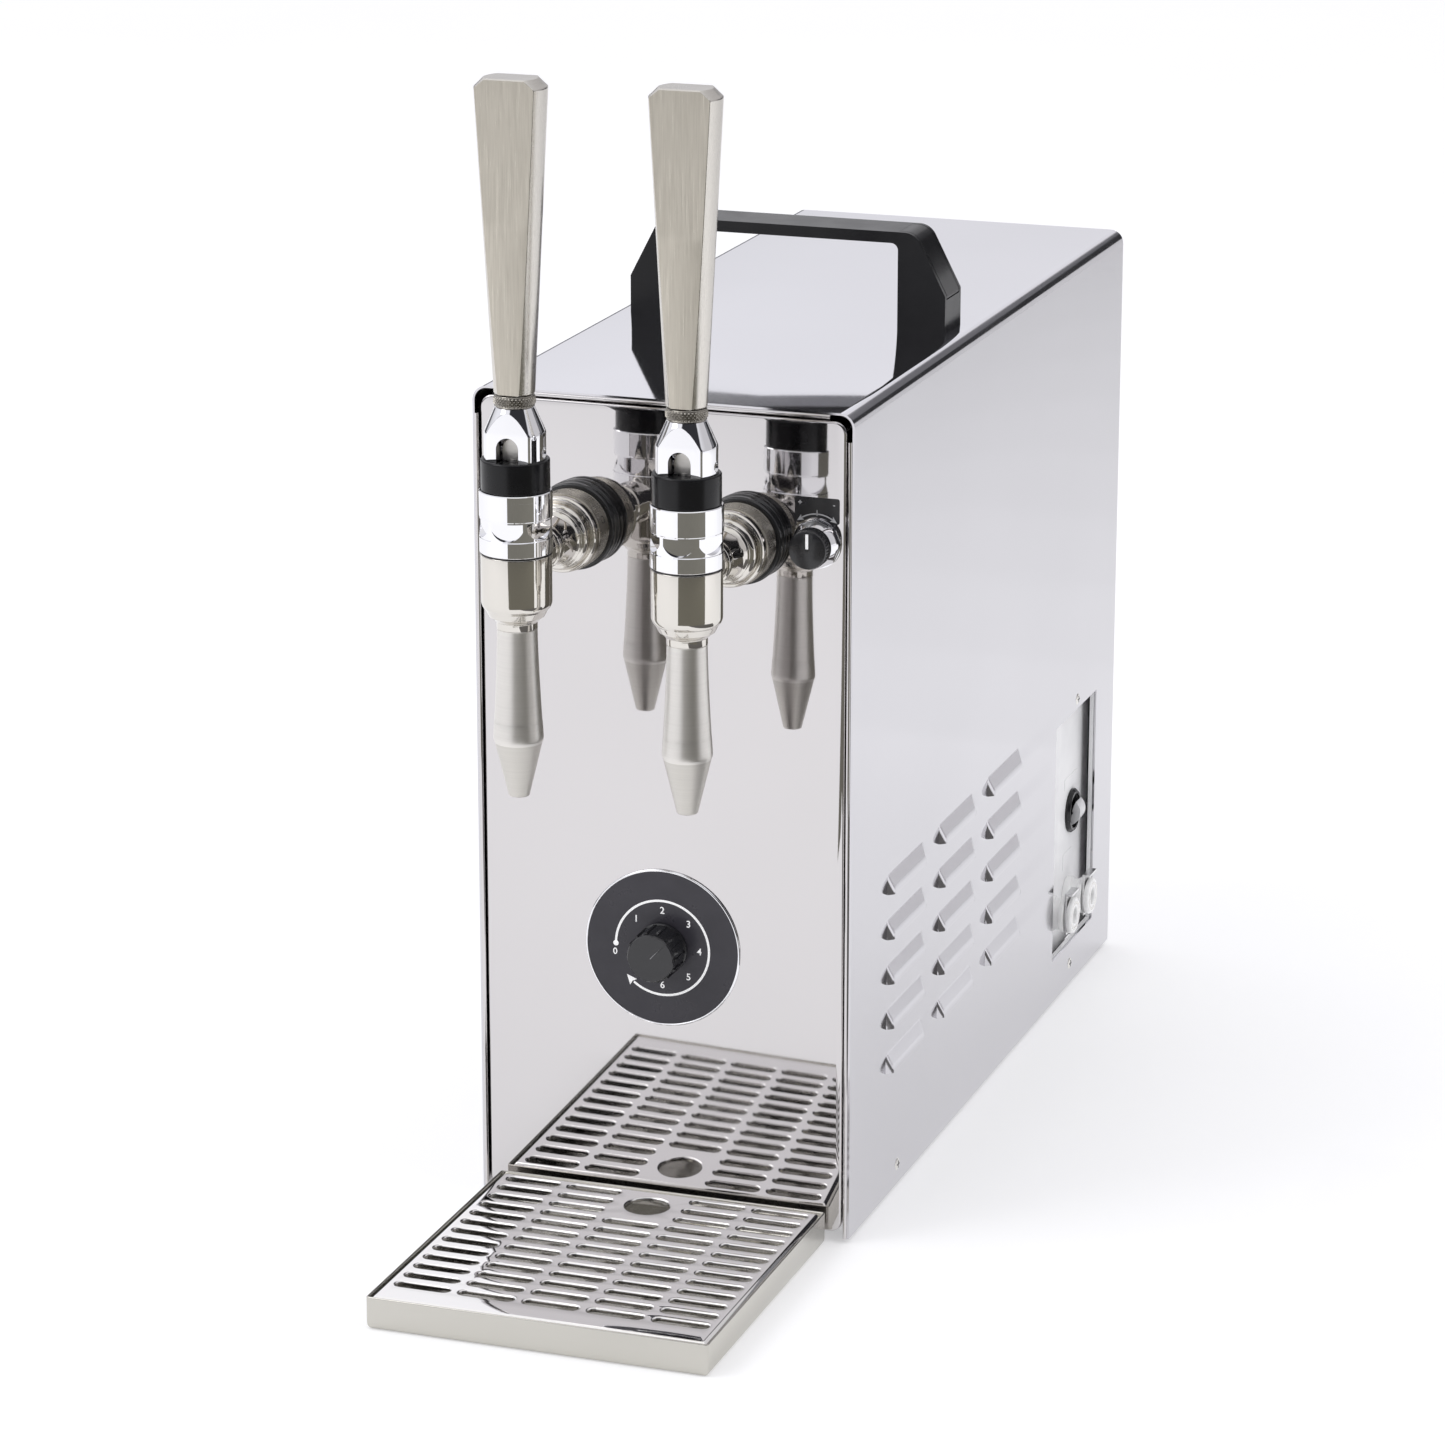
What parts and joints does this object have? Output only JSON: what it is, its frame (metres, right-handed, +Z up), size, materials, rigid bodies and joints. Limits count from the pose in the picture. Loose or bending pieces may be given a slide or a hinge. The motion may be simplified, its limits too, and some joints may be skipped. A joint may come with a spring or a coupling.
{
  "type": "countertop beverage cooler with two stout taps",
  "caption": "Slim stainless countertop drinks cooler with lever-operated stout taps, thermostat dial, side inlets, carry handle and a slotted drip tray.",
  "frame": {"origin": "centre of the whole outline at counter level, under the feet and the tray", "axes": "+Z up, +X to the right of someone facing the taps, +Y from the taps towards the back; the taps face -Y"},
  "size_m": [0.1952, 0.631, 0.5568],
  "materials": {
    "shell_steel": "bright rolled stainless sheet, near mirror",
    "mirror_steel": "mirror-polished stainless sheet",
    "sheet_steel": "plain rolled steel sheet",
    "tray_steel": "pressed stainless, soft polish",
    "steel_polished": "polished stainless steel",
    "steel_brushed": "lengthwise brushed stainless steel",
    "steel_satin": "satin turned stainless steel",
    "steel_bright": "bright stainless steel",
    "chrome": "bright chrome plating",
    "brass": "turned brass",
    "copper": "drawn copper tube",
    "aluminium_fins": "thin mill-finish aluminium",
    "aluminium_cast": "cast aluminium",
    "compressor_black": "black stoving paint",
    "plastic_black": "fine-grained black plastic",
    "plastic_dark": "dark moulded plastic",
    "gloss_black": "gloss black plastic",
    "knob_black": "moulded black plastic",
    "dial_dark": "dark grey printed disc with a metal rim",
    "label_black": "printed film label",
    "label_white": "blank white film label",
    "rocker_grey": "light grey plastic",
    "acetal_white": "white acetal",
    "control_grey": "grey control housing",
    "collar_black": "turned black acetal",
    "rubber_black": "moulded black rubber",
    "foam": "rigid foam",
    "hose_clear": "food-grade hose"
  },
  "bodies": {
    "cabinet": {"shell": "shell_steel", "front_panel": "mirror_steel", "back_panel": "sheet_steel", "base_pan": "sheet_steel", "feet": "rubber_black", "panel_screws": "steel_bright", "carry_handle": "plastic_black", "handle_caps": "plastic_black", "handle_bolts": "steel_bright", "dial_plate": "dial_dark", "thermostat": "control_grey", "gas_label": "label_black", "gas_valve": "brass", "gas_bush": "chrome", "inset_plate": "shell_steel", "blank_labels": "label_white", "switch_body": "gloss_black", "coupling_bodies": "acetal_white", "coupling_nuts": "acetal_white", "mains_inlet": "gloss_black", "compressor": "compressor_black", "compressor_grommets": "rubber_black", "condenser": "aluminium_fins", "fan_shroud": "plastic_dark", "fan_motor": "plastic_dark", "cooling_block": "aluminium_cast", "insulation_jacket": "foam", "product_coils": "steel_bright", "product_lines": "hose_clear", "refrigerant_pipes": "copper", "air_pump": "plastic_dark", "shanks": "steel_bright", "shank_gaskets": "rubber_black", "lock_rings": "steel_satin", "shank_unions": "steel_polished", "shank_back_nuts": "brass", "tap_lower_bodies": "steel_polished", "tap_upper_bodies": "chrome", "tap_seals": "rubber_black", "tap_collars": "collar_black", "nozzles": "steel_satin", "flow_discs": "steel_bright"},
    "left_stem": {"left_stem": "steel_satin"},
    "right_stem": {"right_stem": "steel_satin"},
    "left_lever": {"left_fork": "chrome", "left_pivot_pin": "steel_bright", "left_ferrule": "steel_satin", "left_lever_bar": "steel_brushed"},
    "right_lever": {"right_fork": "chrome", "right_pivot_pin": "steel_bright", "right_ferrule": "steel_satin", "right_lever_bar": "steel_brushed"},
    "thermostat_knob": {"thermostat_knob": "knob_black"},
    "gas_knob": {"gas_knob": "knob_black"},
    "rocker": {"switch_rocker": "rocker_grey"},
    "latch_front": {"coupling_latch_front": "steel_bright"},
    "latch_rear": {"coupling_latch_rear": "steel_bright"},
    "tray": {"drip_tray": "tray_steel"},
    "grate": {"drip_grate": "mirror_steel"},
    "fan": {"fan_rotor": "aluminium_fins"}
  },
  "joints": [
    {"name": "left_stem_lift", "type": "slide", "parent": "cabinet", "child": "left_stem", "axis": [0, 0, 1], "range_m": [0, 0.0055]},
    {"name": "left_lever_tilt", "type": "hinge", "parent": "left_stem", "child": "left_lever", "pos_m": [-0.0423, -0.2255, 0.3906], "axis": [1, 0, 0], "range_deg": [0, 45]},
    {"name": "right_stem_lift", "type": "slide", "parent": "cabinet", "child": "right_stem", "axis": [0, 0, 1], "range_m": [0, 0.0055]},
    {"name": "right_lever_tilt", "type": "hinge", "parent": "right_stem", "child": "right_lever", "pos_m": [0.0385, -0.2255, 0.3906], "axis": [1, 0, 0], "range_deg": [0, 45]},
    {"name": "thermostat_turn", "type": "hinge", "parent": "cabinet", "child": "thermostat_knob", "pos_m": [-0.0019, -0.1565, 0.137], "axis": [0, 1, 0], "range_deg": [-135, 135]},
    {"name": "gas_turn", "type": "hinge", "parent": "cabinet", "child": "gas_knob", "pos_m": [0.0731, -0.1585, 0.339], "axis": [0, 1, 0], "range_deg": [-60, 60]},
    {"name": "rocker_tilt", "type": "hinge", "parent": "cabinet", "child": "rocker", "pos_m": [0.0841, 0.2625, 0.092], "axis": [0, -1, 0], "range_deg": [0, 20]},
    {"name": "latch_front_press", "type": "slide", "parent": "cabinet", "child": "latch_front", "axis": [0, 0, -1], "range_m": [0, 0.002], "stiffness_N_per_m": 1500, "springref_m": -0.001},
    {"name": "latch_rear_press", "type": "slide", "parent": "cabinet", "child": "latch_rear", "axis": [0, 0, -1], "range_m": [0, 0.002], "stiffness_N_per_m": 1500, "springref_m": -0.001},
    {"name": "tray_pull", "type": "slide", "parent": "cabinet", "child": "tray", "axis": [0, -1, 0], "range_m": [0, 0.12]},
    {"name": "grate_lift", "type": "slide", "parent": "tray", "child": "grate", "axis": [0, 0, 1], "range_m": [0, 0.06]},
    {"name": "fan_spin", "type": "hinge", "parent": "cabinet", "child": "fan", "pos_m": [-0.0019, 0.0565, 0.082], "axis": [0, 1, 0], "continuous": true}
  ],
  "couplings": [
    {"joint": "left_stem_lift", "follows": "left_lever_tilt", "m_per_rad": 0.007},
    {"joint": "right_stem_lift", "follows": "right_lever_tilt", "m_per_rad": 0.007}
  ]
}
